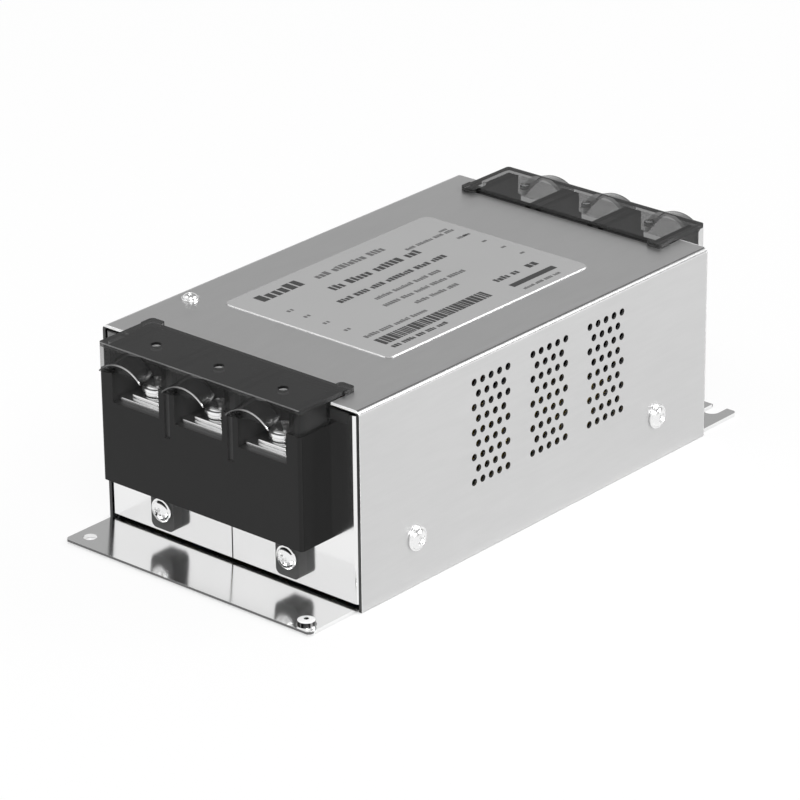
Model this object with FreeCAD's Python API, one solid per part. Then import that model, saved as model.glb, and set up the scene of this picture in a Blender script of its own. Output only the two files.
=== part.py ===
import FreeCAD, Part
import math
import os

# Three-phase line filter in a folded steel box, millimetres.
# X runs across the box, Y along it from the line end to the load end, Z is up.
# The origin is the middle of the housing on the underside of the tray.

# Housing
LENGTH = 168.5          # over the outer faces of the end walls
WIDTH = 105.0
HEIGHT = 65.8
COVER_SHEET = 1.0       # thickness of the top cover's sheet
TRAY_SHEET = 1.2
COVER_BEND = 1.8        # outside bend radius of the top cover
TRAY_BEND = 1.6         # outside bend radius of the tray
TRAY_WALL = 20.0        # height of the tray's low side walls
POST_LENGTH = 12.0      # how far the full-height corner posts reach inwards
POST_DROP = 1.0         # space left over the corner posts
FLAP_GAP = 1.0          # slot between the end flaps and the flanges
SEAM = 0.5              # gap where the two end flaps meet
BEND_RELIEF = 2.0       # notch in the tray's side walls beside each end flap

# Flanges and their holes
LINE_FLANGE = 21.6
LOAD_FLANGE = 20.0
FLANGE_CORNER = 1.6
FLANGE_SIDE_IN = 0.6    # from the tray's side to the flange's side edge
MOUNT_HOLE = 4.5
MOUNT_HOLE_IN = 5.9     # from the tray's side to the round hole
MOUNT_HOLE_OUT = 15.9   # from the end wall to the round hole
SLOT_WIDTH = 5.8
SLOT_IN = 7.6           # from the tray's side to the middle of each open slot
SLOT_FLOOR_OUT = 12.8   # from the end wall to the bottom of each open slot

# Vents in the right-hand side, three banks of staggered holes
VENT_HOLE = 2.4
VENT_PITCH = 4.0
VENT_ROW = 4.15
VENT_ROWS = 9
VENT_COLUMNS = 5        # holes in the longer rows of a bank
VENT_BANKS = 3
VENT_SKIP = 2           # columns left out between two banks
VENT_Y = 4.25
VENT_Z = 41.0

# Terminal blocks, measured outwards from the end wall
POLES = 3
POLE_PITCH = 26.0
BLOCK_WIDTH = 82.4
BLOCK_REACH = 13.4
BLOCK_BOTTOM = 21.5
BLOCK_INSIDE = 8.0      # how far the block stands inside the end wall
BLOCK_INSIDE_WIDTH = 76.0
BLOCK_INSIDE_BOTTOM = 25.0
BLOCK_CORNER = 1.2
RECESS_WIDTH = 19.4
RECESS_FLOOR = 48.7
RECESS_BACK = 5.5       # inside the end wall
GROOVE_WIDTH = 2.2
GROOVE_DEPTH = 0.8
GROOVE_BOTTOM = 43.0
LUG_WIDTH = 9.5
LUG_THICK = 3.6
LUG_BOTTOM = 5.2
LUG_CORNER = 2.0
LUG_SCREW_Z = 11.9
NOTCH_DEPTH = 9.5       # notch in the top for each block
NOTCH_FIT = 0.3

# Terminal covers
SHELL = 1.3             # wall of the smoked cover
SHELL_TOP = 1.5
SHELL_FIT = 0.15        # gap between a skirt and the block
SKIRT_BOTTOM = 58.6
SHELL_BACK = 8.6        # inwards from the end wall
EAR_SIDE = 0.6          # how far an ear stands out at the side and behind the cover
EAR_BACK = 2.4
EAR_WIDTH = 6.0
EAR_LENGTH = 5.0
EAR_CORNER = 1.5
HOOD_REACH = 6.6
HOOD_HALF = 9.4
RIM_HALF = 8.6
RIM_FOOT = 61.9
RIM_CROWN = 65.5
PROBE_HOLE = 3.3
PROBE_OUT = 3.7         # terminal screws and probe holes, out from the end wall

# Terminals
PLATE_THICK = 1.5
PLATE_FRONT = 11.4
PLATE_PAD_BACK = 2.0
PLATE_SIDE_FIT = 0.2
TAIL_WIDTH = 10.0
TAIL_REACH = 12.5
CLAMP_THREAD = 5.0
CLAMP_BORE = 5.8
CLAMP_HEAD = 9.4
CLAMP_HEAD_HIGH = 3.6
CLAMP_LENGTH = 9.0
SQUARE_SIDE = 12.0
SQUARE_THICK = 1.2
SPRING_OUTER = 9.0
SPRING_THICK = 1.3

# Housing screws
M4_THREAD = 4.0
M4_HEAD = 8.0
M4_HEAD_HIGH = 2.3
M4_LENGTH = 7.0
SIDE_SCREW_IN = 25.4    # from the end walls
SIDE_SCREW_Z = 15.5
M3_THREAD = 3.0
M3_HEAD = 5.6
M3_HEAD_HIGH = 1.9
M3_LENGTH = 5.0
CLEARANCE = 0.3         # on the diameter of a screw's clearance hole
TOP_SCREW_IN = 7.0      # from the left side
TOP_SCREW_BACK = 31.8   # from the line end
TOP_TAB_WIDTH = 12.0
TOP_TAB_REACH = 10.0
GROUND_IN = 4.6         # from the tray's side
GROUND_OUT = 18.4
TOOTH_WASHER = 6.2
TOOTH_WASHER_THICK = 0.5

# Label
LABEL_WIDTH = 68.4
LABEL_LENGTH = 97.0
LABEL_THICK = 0.25
LABEL_CORNER = 3.0
LABEL_X = -0.7
LABEL_Y = -0.5

# Board and what stands on it
FILM_THICK = 0.4
FILM_MARGIN = 1.5
STANDOFF_HIGH = 6.8
STANDOFF_OUTER = 6.0
BOARD_THICK = 1.6
BOARD_SIDE_GAP = 1.3    # to the tray's side walls
BOARD_END_GAP = 14.5    # to the outer faces of the end walls
BOARD_SCREW_IN = 4.0    # from the board's long edges
BOARD_SCREW_BACK = 4.5  # from the board's ends
CHOKE_Y = 34.0
CORE_OUTER = 42.0
CORE_INNER = 22.0
CORE_HIGH = 18.0
CARRIER_SIDE = 44.0
CARRIER_THICK = 2.5
DIVIDER_THICK = 2.0
DIVIDER_IN = 4.5        # radius of the carrier's centre post
WIRE = 1.8
WIRE_SINK = 0.3         # how deep the wire presses into the sleeve
SLEEVE = 0.8            # insulation between the core and the wire
TURNS = 7
WINDING_ARC = 92.0      # degrees of the ring that one winding takes
CAP_THICK = 12.0
CAP_HIGH = 22.0
CAP_ROW_GAP = 3.0
CAP_SCREW_GAP = 0.2     # from the row of three capacitors to the board screws
CAP_SIDE_IN = 12.5      # from the board's long edges to the middle of the side capacitors
DISC_OUTER = 10.0
DISC_THICK = 4.0
DISC_BACK = 8.0         # from the board's ends
DISC_GAPS = (3.25, 1.5, 0.95)   # lead to part, part to part and part to board screw, in proportion
RESISTOR_OUTER = 4.5
RESISTOR_LONG = 12.0
LEAD_OUTER = 3.0
LEAD_STRAIGHT = 1.5
LEAD_BEND = 6.0

# Places worked out from the sizes above
HALF_WIDTH = WIDTH / 2
HALF_LENGTH = LENGTH / 2
TRAY_HALF = HALF_WIDTH - COVER_SHEET
UNDER_TOP = HEIGHT - COVER_SHEET
MOUNT_HOLE_X = TRAY_HALF - MOUNT_HOLE_IN
SLOT_X = TRAY_HALF - SLOT_IN
GROUND_X = TRAY_HALF - GROUND_IN
SIDE_SCREW_Y = HALF_LENGTH - SIDE_SCREW_IN
TOP_SCREW_X = -HALF_WIDTH + TOP_SCREW_IN
TOP_SCREW_Y = -HALF_LENGTH + TOP_SCREW_BACK
BOARD_BOTTOM = TRAY_SHEET + FILM_THICK + STANDOFF_HIGH
BOARD_TOP = BOARD_BOTTOM + BOARD_THICK
BOARD_HALF_WIDTH = TRAY_HALF - TRAY_SHEET - BOARD_SIDE_GAP
BOARD_HALF_LENGTH = HALF_LENGTH - BOARD_END_GAP
BOARD_SCREW_X = BOARD_HALF_WIDTH - BOARD_SCREW_IN
CAP_ROW = 2 * (BOARD_SCREW_X - M3_HEAD / 2 - CAP_SCREW_GAP)
CAP_LONG = (CAP_ROW - 2 * CAP_ROW_GAP) / 3
PLATE_TOP = RECESS_FLOOR + PLATE_THICK
LONG = 1000.0           # longer than anything, for cutting right through
OVERCUT = 1.0

V = FreeCAD.Vector
UP = V(0, 0, 1)


def span_box(x, y, z):
    """A box between the two ends given for each axis."""
    corner = V(x[0], y[0], z[0])
    return Part.makeBox(x[1] - x[0], y[1] - y[0], z[1] - z[0], corner)


def rod(diameter, start, direction, length):
    return Part.makeCylinder(diameter / 2, length, start, direction)


def fused(shapes):
    first = shapes[0]
    return first.fuse(shapes[1:]).removeSplitter() if len(shapes) > 1 else first


def edges_along(shape, axis, test):
    """The straight edges that run along an axis and whose middle passes the test."""
    found = []
    for edge in shape.Edges:
        first, last = edge.Vertexes[0].Point, edge.Vertexes[-1].Point
        run = last - first
        if run.Length > 0.1 and abs(abs(run.normalize().dot(axis)) - 1) < 0.001:
            if test((first + last) * 0.5):
                found.append(edge)
    return found


def rounded(shape, radius, axis, test):
    return shape.makeFillet(radius, edges_along(shape, axis, test))


def half_turn(shape):
    """The same piece at the other end of the housing."""
    turned = shape.copy()
    turned.rotate(V(0, 0, 0), UP, 180)
    return turned


def pole_places():
    return [(i - (POLES - 1) / 2) * POLE_PITCH for i in range(POLES)]


def lug_places():
    places = pole_places()
    return [places[0], places[-1]]


def out(distance):
    """The Y of a point this far outside the line end's wall."""
    return -HALF_LENGTH - distance


def folded_channel(half, sheet, bend, y, low, high, opens_down):
    """A channel of bent sheet along Y, open at the top or at the bottom."""
    outer = span_box((-half, half), y, (low, high))
    closed = high if opens_down else low
    outer = rounded(outer, bend, V(0, 1, 0), lambda p: abs(p.z - closed) < 0.01)
    inner_z = (low - OVERCUT, high - sheet) if opens_down else (low + sheet, high + OVERCUT)
    inner_closed = inner_z[1] if opens_down else inner_z[0]
    inner_half = half - sheet
    inner = span_box((-inner_half, inner_half), (y[0] - OVERCUT, y[1] + OVERCUT), inner_z)
    inner = rounded(inner, bend - sheet, V(0, 1, 0), lambda p: abs(p.z - inner_closed) < 0.01)
    return outer.cut(inner)


def plain_screw(thread, length, head, head_high):
    """A pan head screw standing on Z = 0 with its thread below."""
    top = rod(head, V(0, 0, 0), UP, head_high)
    rim = [edge for edge in top.Edges if edge.Vertexes[0].Z > head_high / 2 and edge.Closed]
    top = top.makeChamfer(head_high * 0.4, rim)
    return top.fuse(rod(thread, V(0, 0, -length), UP, length)).removeSplitter()


def pan_screw(thread, length, head, head_high):
    """The same screw with a cross recess."""
    arm = head * 0.62
    slot = head * 0.15
    depth = head_high * 0.5
    floor = head_high - depth
    cross = span_box((-arm / 2, arm / 2), (-slot / 2, slot / 2), (floor, head_high + OVERCUT))
    other = cross.copy()
    other.rotate(V(0, 0, 0), UP, 90)
    return plain_screw(thread, length, head, head_high).cut([cross, other])


def placed(shape, point, direction):
    """A copy of a shape modelled along +Z, moved to a point and turned to a direction."""
    moved = shape.copy()
    moved.Placement = FreeCAD.Placement(point, FreeCAD.Rotation(UP, direction))
    return moved


def open_slot(x):
    """The cutter of one slot that is open at the load flange's edge."""
    radius = SLOT_WIDTH / 2
    centre_y = HALF_LENGTH + SLOT_FLOOR_OUT + radius
    straight = span_box((x - radius, x + radius), (centre_y, LONG), (-OVERCUT, TRAY_SHEET + OVERCUT))
    end = rod(SLOT_WIDTH, V(x, centre_y, -OVERCUT), UP, TRAY_SHEET + 2 * OVERCUT)
    return straight.fuse(end)


def make_tray():
    wall_end = HALF_LENGTH - BEND_RELIEF
    trough = folded_channel(TRAY_HALF, TRAY_SHEET, TRAY_BEND, (-wall_end, wall_end), 0, TRAY_WALL, False)
    floor_y = (out(LINE_FLANGE), HALF_LENGTH + LOAD_FLANGE)
    flange_x = TRAY_HALF - TRAY_BEND
    plate = span_box((-flange_x, flange_x), floor_y, (0, TRAY_SHEET))
    plates = [plate]
    end_half = TRAY_HALF - FLANGE_SIDE_IN
    for y in ((floor_y[0], -wall_end), (wall_end, floor_y[1])):
        end = span_box((-end_half, end_half), y, (0, TRAY_SHEET))
        plates.append(rounded(end, FLANGE_CORNER, UP, lambda p: p.y in floor_y))

    post_z = (TRAY_SHEET + FLAP_GAP, UNDER_TOP - POST_DROP)
    ring = span_box((-TRAY_HALF, TRAY_HALF), (-HALF_LENGTH, HALF_LENGTH), post_z)
    ring = rounded(ring, TRAY_BEND, UP, lambda p: True)
    inner_x = TRAY_HALF - TRAY_SHEET
    inner_y = HALF_LENGTH - TRAY_SHEET
    hollow = span_box((-inner_x, inner_x), (-inner_y, inner_y), (0, LONG))
    hollow = rounded(hollow, TRAY_BEND - TRAY_SHEET, UP, lambda p: True)
    post_end = HALF_LENGTH - POST_LENGTH
    middle = span_box((-LONG, LONG), (-post_end, post_end), (0, LONG))
    window_x = BLOCK_INSIDE_WIDTH / 2
    window = span_box((-window_x, window_x), (-LONG, LONG), (BLOCK_INSIDE_BOTTOM, LONG))
    seam = span_box((-SEAM / 2, SEAM / 2), (-LONG, LONG), (0, LONG))
    corners = ring.cut([hollow, middle, window, seam])

    tab_y = (TOP_SCREW_Y - TOP_TAB_WIDTH / 2, TOP_SCREW_Y + TOP_TAB_WIDTH / 2)
    tab_z = (TRAY_WALL - OVERCUT, UNDER_TOP)
    tab = span_box((-TRAY_HALF, -TRAY_HALF + TOP_TAB_REACH), tab_y, tab_z)
    fold = lambda p: abs(p.x + TRAY_HALF) < 0.01 and p.z > TRAY_WALL
    tab = rounded(tab, TRAY_BEND, V(0, 1, 0), lambda p: fold(p) and abs(p.z - UNDER_TOP) < 0.01)
    under = span_box((-TRAY_HALF + TRAY_SHEET, LONG), tab_y, (0, UNDER_TOP - TRAY_SHEET))
    tab = tab.cut(under)

    tray = fused([trough] + plates + [corners, tab])
    holes = [open_slot(-SLOT_X), open_slot(SLOT_X)]
    through = TRAY_SHEET + 2 * OVERCUT
    holes.append(rod(MOUNT_HOLE, V(-MOUNT_HOLE_X, out(MOUNT_HOLE_OUT), -OVERCUT), UP, through))
    holes.append(rod(M3_THREAD, V(GROUND_X, out(GROUND_OUT), -OVERCUT), UP, through))
    holes.append(rod(M3_THREAD, V(TOP_SCREW_X, TOP_SCREW_Y, TRAY_WALL), UP, UNDER_TOP))
    for y in (-SIDE_SCREW_Y, SIDE_SCREW_Y):
        holes.append(rod(M4_THREAD, V(-LONG / 2, y, SIDE_SCREW_Z), V(1, 0, 0), LONG))
    for x in lug_places():
        holes.append(rod(M4_THREAD, V(x, -LONG / 2, LUG_SCREW_Z), V(0, 1, 0), LONG))
    return tray.cut(holes)


def vent_holes():
    """The cutters of the vent, three banks of staggered round holes."""
    cutters = []
    bank_step = (VENT_COLUMNS - 1 + VENT_SKIP + 1) * VENT_PITCH
    for bank in range(VENT_BANKS):
        bank_y = VENT_Y + (bank - (VENT_BANKS - 1) / 2) * bank_step
        for row in range(VENT_ROWS):
            count = VENT_COLUMNS - row % 2
            z = VENT_Z + ((VENT_ROWS - 1) / 2 - row) * VENT_ROW
            for i in range(count):
                y = bank_y + (i - (count - 1) / 2) * VENT_PITCH
                start = V(HALF_WIDTH - COVER_SHEET - OVERCUT, y, z)
                cutters.append(rod(VENT_HOLE, start, V(1, 0, 0), COVER_SHEET + 2 * OVERCUT))
    return cutters


def make_top_cover():
    sheet_y = (-HALF_LENGTH, HALF_LENGTH)
    cover = folded_channel(HALF_WIDTH, COVER_SHEET, COVER_BEND, sheet_y, 0, HEIGHT, True)
    notch_x = BLOCK_WIDTH / 2 + NOTCH_FIT
    notch = span_box((-notch_x, notch_x), (out(OVERCUT), out(-NOTCH_DEPTH)), (UNDER_TOP - OVERCUT, LONG))
    notch = rounded(notch, BLOCK_CORNER, UP, lambda p: p.y > out(0))
    cutters = [notch, half_turn(notch)] + vent_holes()
    clear = M4_THREAD + CLEARANCE
    for y in (-SIDE_SCREW_Y, SIDE_SCREW_Y):
        cutters.append(rod(clear, V(-LONG / 2, y, SIDE_SCREW_Z), V(1, 0, 0), LONG))
    cutters.append(rod(M3_THREAD + CLEARANCE, V(TOP_SCREW_X, TOP_SCREW_Y, TRAY_WALL), UP, HEIGHT))
    return cover.cut(cutters)


def plate_outline():
    """One terminal plate at X = 0, with its tail through the block's back wall."""
    pad_half = RECESS_WIDTH / 2 - PLATE_SIDE_FIT
    z = (RECESS_FLOOR, PLATE_TOP)
    pad = span_box((-pad_half, pad_half), (out(PLATE_FRONT), out(-PLATE_PAD_BACK)), z)
    pad = rounded(pad, BLOCK_CORNER, UP, lambda p: p.y < out(0))
    tail = span_box((-TAIL_WIDTH / 2, TAIL_WIDTH / 2), (out(0), out(-TAIL_REACH)), z)
    return pad.fuse(tail).removeSplitter()


def make_block():
    half = BLOCK_WIDTH / 2
    body = span_box((-half, half), (out(BLOCK_REACH), out(0)), (BLOCK_BOTTOM, SKIRT_BOTTOM))
    body = rounded(body, BLOCK_CORNER, UP, lambda p: p.y < out(BLOCK_REACH / 2))
    neck_half = half - SHELL - SHELL_FIT
    neck_y = (out(BLOCK_REACH - SHELL - SHELL_FIT), out(0))
    neck = span_box((-neck_half, neck_half), neck_y, (SKIRT_BOTTOM, HEIGHT))
    inside_x = BLOCK_INSIDE_WIDTH / 2
    inside = span_box((-inside_x, inside_x), (out(0), out(-BLOCK_INSIDE)), (BLOCK_INSIDE_BOTTOM, HEIGHT))
    parts = [body, neck, inside]
    for x in lug_places():
        lug_x = (x - LUG_WIDTH / 2, x + LUG_WIDTH / 2)
        lug = span_box(lug_x, (out(LUG_THICK), out(0)), (LUG_BOTTOM, BLOCK_BOTTOM + OVERCUT))
        parts.append(rounded(lug, LUG_CORNER, V(0, 1, 0), lambda p: p.z < BLOCK_BOTTOM / 2 + 1))
    block = fused(parts)

    cutters = []
    plate = plate_outline()
    for x in pole_places():
        pocket_x = (x - RECESS_WIDTH / 2, x + RECESS_WIDTH / 2)
        pocket_y = (out(BLOCK_REACH + OVERCUT), out(-RECESS_BACK))
        cutters.append(span_box(pocket_x, pocket_y, (RECESS_FLOOR, LONG)))
        slit = plate.copy()
        slit.translate(V(x, 0, 0))
        cutters.append(slit)
        depth = CLAMP_LENGTH
        cutters.append(rod(CLAMP_BORE, V(x, out(PROBE_OUT), RECESS_FLOOR - depth), UP, depth + OVERCUT))
    for x in lug_places():
        clear = M4_THREAD + CLEARANCE
        cutters.append(rod(clear, V(x, out(LUG_THICK + OVERCUT), LUG_SCREW_Z), V(0, 1, 0), LUG_THICK + OVERCUT))
    for i in range(POLES - 1):
        x = (i - (POLES - 2) / 2) * POLE_PITCH
        groove_x = (x - GROOVE_WIDTH / 2, x + GROOVE_WIDTH / 2)
        groove_y = (out(BLOCK_REACH + OVERCUT), out(BLOCK_REACH - GROOVE_DEPTH))
        cutters.append(span_box(groove_x, groove_y, (GROOVE_BOTTOM, SKIRT_BOTTOM + OVERCUT)))
    return block.cut(cutters)


def arch_wire(y, half, foot, crown, base):
    """A closed outline across Y: an arch on two short legs and a straight base."""
    left, right = V(-half, y, foot), V(half, y, foot)
    arch = Part.Arc(left, V(0, y, crown), right).toShape()
    corners = [right, V(half, y, base), V(-half, y, base), left]
    lines = [Part.LineSegment(corners[i], corners[i + 1]).toShape() for i in range(3)]
    return Part.Wire([arch] + lines)


def hood(wall, overrun):
    """The vault over one wire; with a wall it is the hollow inside that vault."""
    leg = 0.3 if wall == 0 else OVERCUT * 2
    crown = HEIGHT + SHELL_TOP - wall
    face = arch_wire(out(BLOCK_REACH - overrun), HOOD_HALF - wall, SKIRT_BOTTOM, crown, SKIRT_BOTTOM - leg)
    rim_half = RIM_HALF - wall
    rim = arch_wire(out(BLOCK_REACH + HOOD_REACH + overrun), rim_half, RIM_FOOT, RIM_CROWN - wall, RIM_FOOT - leg)
    return Part.makeLoft([face, rim], True, True)


def make_terminal_cover():
    half = BLOCK_WIDTH / 2
    front = out(BLOCK_REACH)
    top_z = (HEIGHT, HEIGHT + SHELL_TOP)
    top = span_box((-half, half), (front, out(-SHELL_BACK)), top_z)
    top = rounded(top, BLOCK_CORNER, UP, lambda p: True)
    skirt_z = (SKIRT_BOTTOM, HEIGHT)
    skirt = span_box((-half, half), (front, front + SHELL), skirt_z)
    skirt = rounded(skirt, BLOCK_CORNER, UP, lambda p: p.y < front + SHELL / 2)
    side_y = (front + SHELL / 2, out(SHELL_FIT))
    sides = [span_box(x, side_y, skirt_z) for x in ((-half, -half + SHELL), (half - SHELL, half))]
    ear_x = (half + EAR_SIDE - EAR_WIDTH, half + EAR_SIDE)
    ear_y = (out(-SHELL_BACK - EAR_BACK + EAR_LENGTH), out(-SHELL_BACK - EAR_BACK))
    ears = [span_box(x, ear_y, top_z) for x in (ear_x, (-ear_x[1], -ear_x[0]))]
    ears = [rounded(ear, EAR_CORNER, UP, lambda p: p.y > out(-SHELL_BACK)) for ear in ears]
    hoods = []
    hollows = []
    for x in pole_places():
        for group, wall, overrun in ((hoods, 0, 0), (hollows, SHELL, 0.6)):
            vault = hood(wall, overrun)
            vault.translate(V(x, 0, 0))
            group.append(vault)
        pocket_half = HOOD_HALF - SHELL
        opening_y = (out(BLOCK_REACH + 0.1), out(BLOCK_REACH - SHELL - 0.1))
        slot = span_box((x - pocket_half, x + pocket_half), opening_y, (SKIRT_BOTTOM - OVERCUT, SKIRT_BOTTOM))
        hollows.append(slot)
        hollows.append(rod(PROBE_HOLE, V(x, out(PROBE_OUT), 0), UP, LONG))
    shell = fused([top, skirt] + sides + ears + hoods)
    under = span_box((-LONG, LONG), (out(BLOCK_REACH - SHELL - 0.01), LONG), (0, SKIRT_BOTTOM))
    return shell.cut(hollows).cut(under)


def make_plates():
    hole = rod(CLAMP_THREAD, V(0, out(PROBE_OUT), 0), UP, HEIGHT)
    plate = plate_outline().cut(hole)
    return [plate.translated(V(x, 0, 0)) for x in pole_places()]


def ring_washer(outer, inner, thick):
    return rod(outer, V(0, 0, 0), UP, thick).cut(rod(inner, V(0, 0, -OVERCUT), UP, thick + 2 * OVERCUT))


def make_clamp_sets():
    """Square washers, spring washers and screws of all six terminals."""
    half = SQUARE_SIDE / 2
    square = span_box((-half, half), (-half, half), (0, SQUARE_THICK))
    square = square.cut(rod(CLAMP_THREAD, V(0, 0, -OVERCUT), UP, SQUARE_THICK + 2 * OVERCUT))
    spring = ring_washer(SPRING_OUTER, CLAMP_THREAD, SPRING_THICK)
    split = span_box((0, SPRING_OUTER), (-0.3, 0.3), (-OVERCUT, SPRING_THICK + OVERCUT))
    spring = spring.cut(split)
    length = CLAMP_LENGTH + PLATE_THICK + SQUARE_THICK + SPRING_THICK - OVERCUT
    screw = pan_screw(CLAMP_THREAD, length, CLAMP_HEAD, CLAMP_HEAD_HIGH)
    sets = {"square_washers": [], "spring_washers": [], "clamp_screws": []}
    for x in pole_places():
        seat = V(x, out(PROBE_OUT), PLATE_TOP)
        stack = (
            ("square_washers", square, 0),
            ("spring_washers", spring, SQUARE_THICK),
            ("clamp_screws", screw, SQUARE_THICK + SPRING_THICK),
        )
        for name, shape, height in stack:
            near = shape.translated(seat + V(0, 0, height))
            sets[name] += [near, half_turn(near)]
    return sets


def make_housing_screws():
    m4 = pan_screw(M4_THREAD, M4_LENGTH, M4_HEAD, M4_HEAD_HIGH)
    m3 = pan_screw(M3_THREAD, M3_LENGTH, M3_HEAD, M3_HEAD_HIGH)
    near = [placed(m4, V(x, out(LUG_THICK), LUG_SCREW_Z), V(0, -1, 0)) for x in lug_places()]
    block_screws = near + [half_turn(screw) for screw in near]
    right = [placed(m4, V(HALF_WIDTH, y, SIDE_SCREW_Z), V(1, 0, 0)) for y in (-SIDE_SCREW_Y, SIDE_SCREW_Y)]
    side_screws = right + [half_turn(screw) for screw in right]
    top_screw = placed(m3, V(TOP_SCREW_X, TOP_SCREW_Y, HEIGHT), UP)
    ground_seat = V(GROUND_X, out(GROUND_OUT), TRAY_SHEET)
    washer = ring_washer(TOOTH_WASHER, M3_THREAD, TOOTH_WASHER_THICK).translated(ground_seat)
    ground_length = TRAY_SHEET + TOOTH_WASHER_THICK
    ground = pan_screw(M3_THREAD, ground_length, M3_HEAD, M3_HEAD_HIGH)
    ground = ground.translated(ground_seat + V(0, 0, TOOTH_WASHER_THICK))
    return {
        "block_screws": block_screws,
        "side_screws": side_screws,
        "top_screw": [top_screw],
        "ground_washer": [washer],
        "ground_screw": [ground],
    }


def make_label():
    x = (LABEL_X - LABEL_WIDTH / 2, LABEL_X + LABEL_WIDTH / 2)
    y = (LABEL_Y - LABEL_LENGTH / 2, LABEL_Y + LABEL_LENGTH / 2)
    label = span_box(x, y, (HEIGHT, HEIGHT + LABEL_THICK))
    return rounded(label, LABEL_CORNER, UP, lambda p: True)


def board_fixings():
    along = BOARD_HALF_LENGTH - BOARD_SCREW_BACK
    return [(x, y) for x in (-BOARD_SCREW_X, BOARD_SCREW_X) for y in (-along, 0, along)]


def make_board_parts():
    film_x = TRAY_HALF - TRAY_SHEET - FILM_MARGIN
    film_y = HALF_LENGTH - BEND_RELIEF - FILM_MARGIN
    film = span_box((-film_x, film_x), (-film_y, film_y), (TRAY_SHEET, TRAY_SHEET + FILM_THICK))
    board_x = (-BOARD_HALF_WIDTH, BOARD_HALF_WIDTH)
    board_y = (-BOARD_HALF_LENGTH, BOARD_HALF_LENGTH)
    board = span_box(board_x, board_y, (BOARD_BOTTOM, BOARD_TOP))
    bores = [rod(M3_THREAD, V(x, y, 0), UP, HEIGHT) for x, y in board_fixings()]
    screw = plain_screw(M3_THREAD, M3_LENGTH, M3_HEAD, M3_HEAD_HIGH)
    standoffs = []
    screws = []
    for x, y in board_fixings():
        foot = V(x, y, TRAY_SHEET + FILM_THICK)
        hex_wire = Part.makePolygon([foot + V(*corner) for corner in hexagon(STANDOFF_OUTER)])
        standoffs.append(Part.Face(hex_wire).extrude(V(0, 0, STANDOFF_HIGH)))
        screws.append(screw.translated(V(x, y, BOARD_TOP)))
    drilled = [standoff.cut(bores) for standoff in standoffs]
    return {
        "insulating_sheet": [film],
        "circuit_board": [board.cut(bores)],
        "board_standoffs": drilled,
        "board_screws": screws,
    }


def hexagon(across_corners):
    radius = across_corners / 2
    angles = [math.radians(60 * i) for i in range(7)]
    return [(radius * math.cos(a), radius * math.sin(a), 0) for a in angles]


def winding_turn(inner, outer, low, high):
    """One squared turn of wire round the core's section, in the XZ plane."""
    half = WIRE / 2
    loop = span_box((inner - WIRE, outer + WIRE), (-half, half), (low - WIRE, high + WIRE))
    loop = loop.makeChamfer(WIRE * 0.45, edges_along(loop, V(0, 1, 0), lambda p: True))
    window_x = (inner + WIRE_SINK, outer - WIRE_SINK)
    return loop.cut(span_box(window_x, (-WIRE, WIRE), (low + WIRE_SINK, high - WIRE_SINK)))


def make_choke():
    """Core, three windings and carrier of one choke at the line end's place."""
    core_low = BOARD_TOP + CARRIER_THICK + WIRE + SLEEVE
    core_z = (core_low, core_low + CORE_HIGH)
    base = V(0, -CHOKE_Y, core_low)
    core = rod(CORE_OUTER, base, UP, CORE_HIGH).cut(rod(CORE_INNER, base, UP, CORE_HIGH))
    middle = V(0, -CHOKE_Y, 0)

    sleeve_in = CORE_INNER / 2 - SLEEVE
    sleeve_out = CORE_OUTER / 2 + SLEEVE
    low, high = core_z[0] - SLEEVE, core_z[1] + SLEEVE
    corners = [(sleeve_in, low), (sleeve_out, low), (sleeve_out, high), (sleeve_in, high), (sleeve_in, low)]
    section = Part.Face(Part.makePolygon([V(x, 0, z) for x, z in corners]))
    sector = section.revolve(V(0, 0, 0), UP, WINDING_ARC)
    sector.rotate(V(0, 0, 0), UP, -WINDING_ARC / 2)
    turn = winding_turn(sleeve_in, sleeve_out, low, high)
    turn_step = (WINDING_ARC - 12) / (TURNS - 1)
    turns = []
    for i in range(TURNS):
        copy = turn.copy()
        copy.rotate(V(0, 0, 0), UP, (i - (TURNS - 1) / 2) * turn_step)
        turns.append(copy)
    winding = fused([sector] + turns)
    bore = rod(CORE_OUTER, V(0, 0, core_low), UP, CORE_HIGH)
    bore = bore.cut(rod(CORE_INNER, V(0, 0, core_low), UP, CORE_HIGH))
    winding = winding.cut(bore)
    windings = []
    for phase in range(POLES):
        copy = winding.copy()
        copy.rotate(V(0, 0, 0), UP, 90 + phase * 360 / POLES)
        windings.append(copy.translated(middle))

    half = CARRIER_SIDE / 2
    slab = span_box((-half, half), (-half, half), (BOARD_TOP, BOARD_TOP + CARRIER_THICK))
    slab = rounded(slab, LABEL_CORNER, UP, lambda p: True)
    post_top = core_z[1]
    post = rod(2 * DIVIDER_IN, V(0, 0, BOARD_TOP), UP, post_top - BOARD_TOP)
    carrier = [slab, post]
    for phase in range(POLES):
        fin = span_box((0, CORE_INNER / 2), (-DIVIDER_THICK / 2, DIVIDER_THICK / 2), (BOARD_TOP, post_top))
        rib = span_box((0, CORE_OUTER / 2), (-DIVIDER_THICK / 2, DIVIDER_THICK / 2), (BOARD_TOP, core_low))
        for piece in (fin, rib):
            piece.rotate(V(0, 0, 0), UP, 30 + phase * 360 / POLES)
            carrier.append(piece)
    ring = rod(CORE_INNER, V(0, 0, 0), UP, HEIGHT)
    keep = ring.fuse(rod(4 * CORE_OUTER, V(0, 0, 0), UP, core_low))
    carrier = fused(carrier).common(keep).removeSplitter()
    return core, windings, carrier.translated(middle)


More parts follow.
